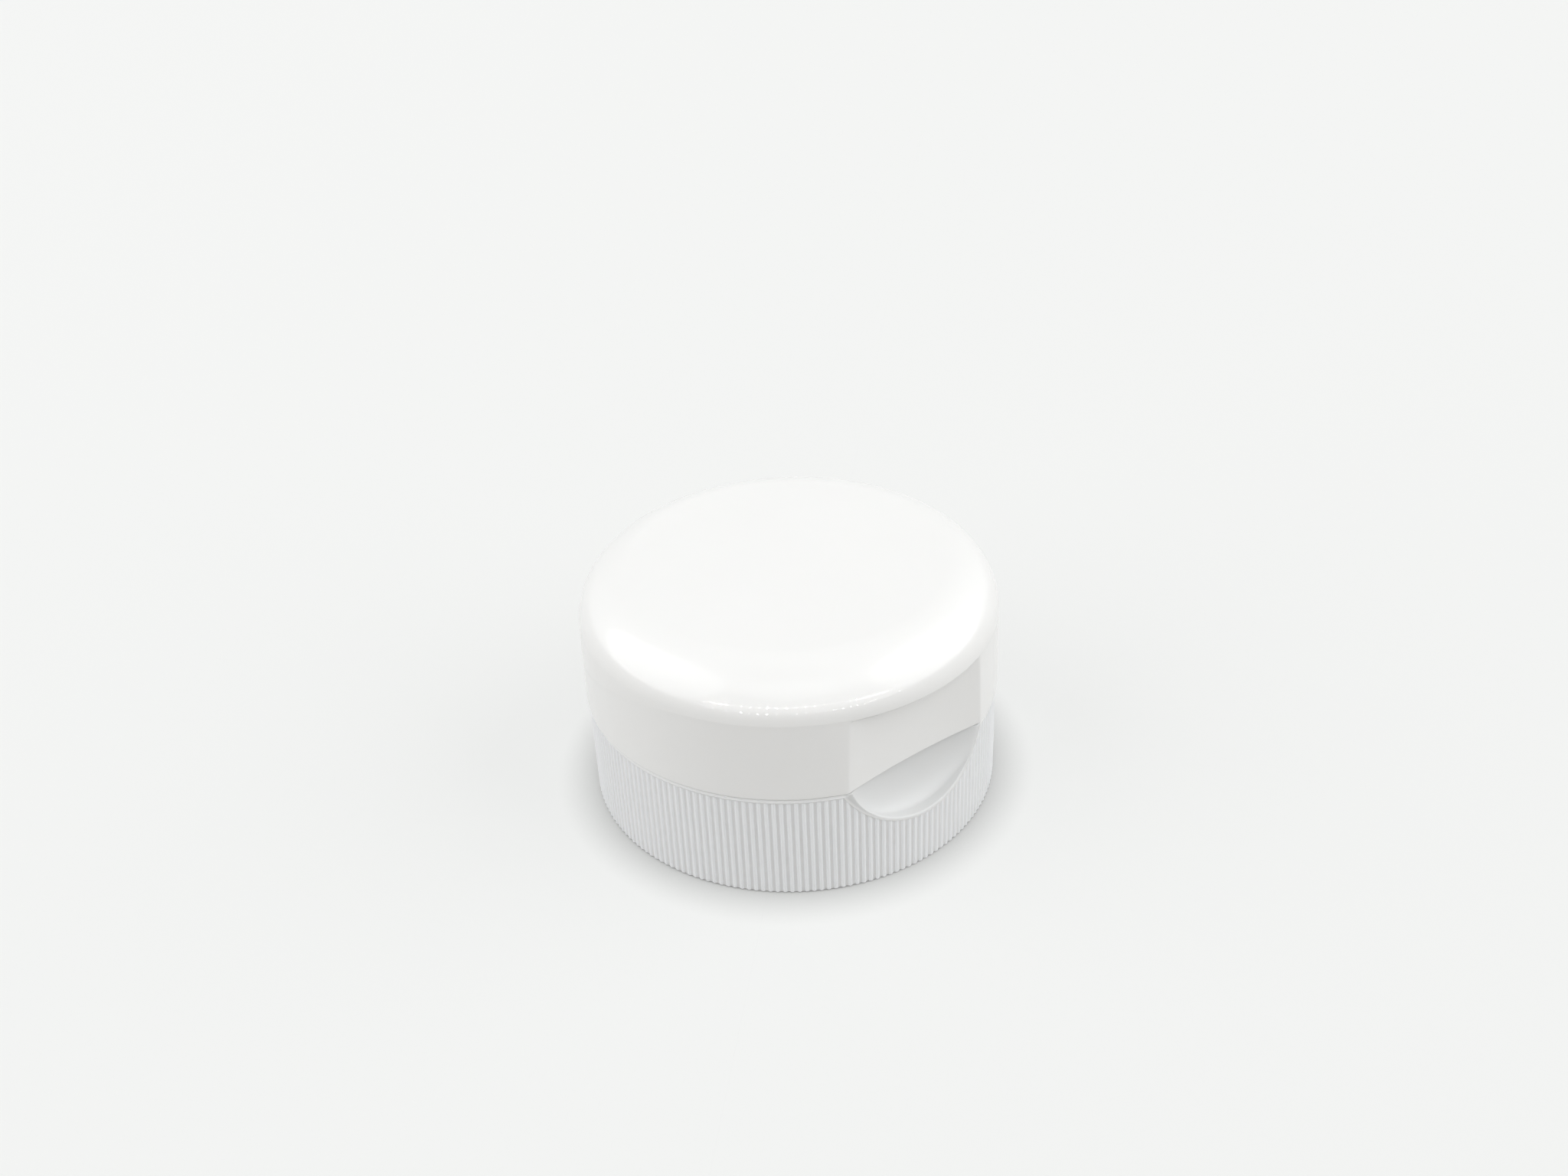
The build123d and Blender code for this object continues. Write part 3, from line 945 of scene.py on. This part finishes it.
def hangPanel():
    # a curved softbox that shows only as a sheen on the gloss: the broad highlight round the lid's
    # rim. The mesh holds its light point by point, it fades smoothly towards every edge, and it
    # adds to the pale room behind it
    look = panelLook
    count, levels, radius = look["columns"], look["rows"], look["radius"]
    azimuths = np.linspace(-look["back"], look["back"], count)
    heights = np.linspace(look["low"], look["high"], levels)
    turns, rises = np.radians(azimuths + view["azimuth"]), np.radians(heights)
    points = [(radius * math.cos(e) * math.sin(a), -radius * math.cos(e) * math.cos(a),
               radius * math.sin(e)) for e in rises for a in turns]
    faces = [(i * count + j, (i + 1) * count + j, (i + 1) * count + j + 1, i * count + j + 1)
             for i in range(levels - 1) for j in range(count - 1)]
    upright = smoothStep(heights, look["low"], look["full"])
    upright = upright * (1 - smoothStep(heights, look["dim"], look["high"]))
    sideways = 1 - smoothStep(np.abs(azimuths), look["side"], look["back"])
    material, tree = blankMaterial("softboxCloth")
    power = addNode(tree, "ShaderNodeAttribute", attribute_name="glow").outputs["Fac"]
    glow = addNode(tree, "ShaderNodeEmission", {
        "Color": hexColour(look["colour"]), "Strength": power}).outputs[0]
    clear = addNode(tree, "ShaderNodeBsdfTransparent").outputs[0]
    both = addNode(tree, "ShaderNodeAddShader", {0: clear, 1: glow}).outputs[0]
    addNode(tree, "ShaderNodeOutputMaterial", {"Surface": both})
    panel = makePiece("softboxPanel", points, faces, material)
    strengths = (look["strength"] * np.outer(upright, sideways)).ravel().tolist()
    panel.data.attributes.new("glow", "FLOAT", "POINT").data.foreach_set("value", strengths)
    hideFromAllButGloss(panel)


ledLook = {
    "distance": 0.30, "from": -0.28, "to": 0.41, "pitch": 0.024, "size": 0.0048, "strength": 210.0,
    "heights": ((0.075, 1.0), (0.008, 0.35)),
}


def hangLamps():
    # two straight strips of small lamps before the part, seen only as sparks on the lid's gloss.
    # Heights are in metres, each with its share of the strength
    look = ledLook
    turn = Matrix.Rotation(math.radians(view["azimuth"]), 4, "Z")
    half = look["size"] / 2
    for row, (height, share) in enumerate(look["heights"]):
        points, faces = [], []
        for x in np.arange(look["from"], look["to"], look["pitch"]):
            for u, v in ((-half, -half), (-half, half), (half, half), (half, -half)):
                points.append(turn @ Vector((x + u, -look["distance"], height + v)))
            faces.append(tuple(range(len(points) - 4, len(points))))
        material, tree = blankMaterial("lampChip%d" % row)
        glow = addNode(tree, "ShaderNodeEmission", {
            "Color": hexColour("#FFFFFF"), "Strength": look["strength"] * share}).outputs[0]
        addNode(tree, "ShaderNodeOutputMaterial", {"Surface": glow})
        strip = makePiece("lampStrip%d" % row, points, faces, material, smooth=False)
        hideFromAllButGloss(strip)


def placeCamera():
    data = bpy.data.cameras.new("studioCamera")
    data.sensor_width = view["sensor"]
    data.lens = view["focal"] / view["imageWidth"] * data.sensor_width
    data.clip_start = view["near"]
    data.clip_end = view["far"]
    holder = bpy.data.objects.new("studioCamera", data)
    azimuth, elevation = math.radians(view["azimuth"]), math.radians(view["elevation"])
    level = math.cos(elevation)
    way = Vector((math.sin(azimuth) * level, -math.cos(azimuth) * level, math.sin(elevation)))
    place = way * view["distance"] * mm
    turn = Euler((math.pi / 2 - elevation, 0, azimuth)).to_matrix()
    turn = turn @ Matrix.Rotation(-math.radians(view["yaw"]), 3, "Y")
    turn = turn @ Matrix.Rotation(math.radians(view["pitch"]), 3, "X")
    turn = turn @ Matrix.Rotation(-math.radians(view["roll"]), 3, "Z")
    holder.matrix_world = Matrix.Translation(place) @ turn.to_4x4()
    bpy.context.scene.collection.objects.link(holder)
    bpy.context.scene.camera = holder


paintFloor()
lightRoom()
hangPanel()
hangLamps()
placeCamera()
bpy.context.scene.view_settings.view_transform = "Standard"
print("floor, light and camera ready")
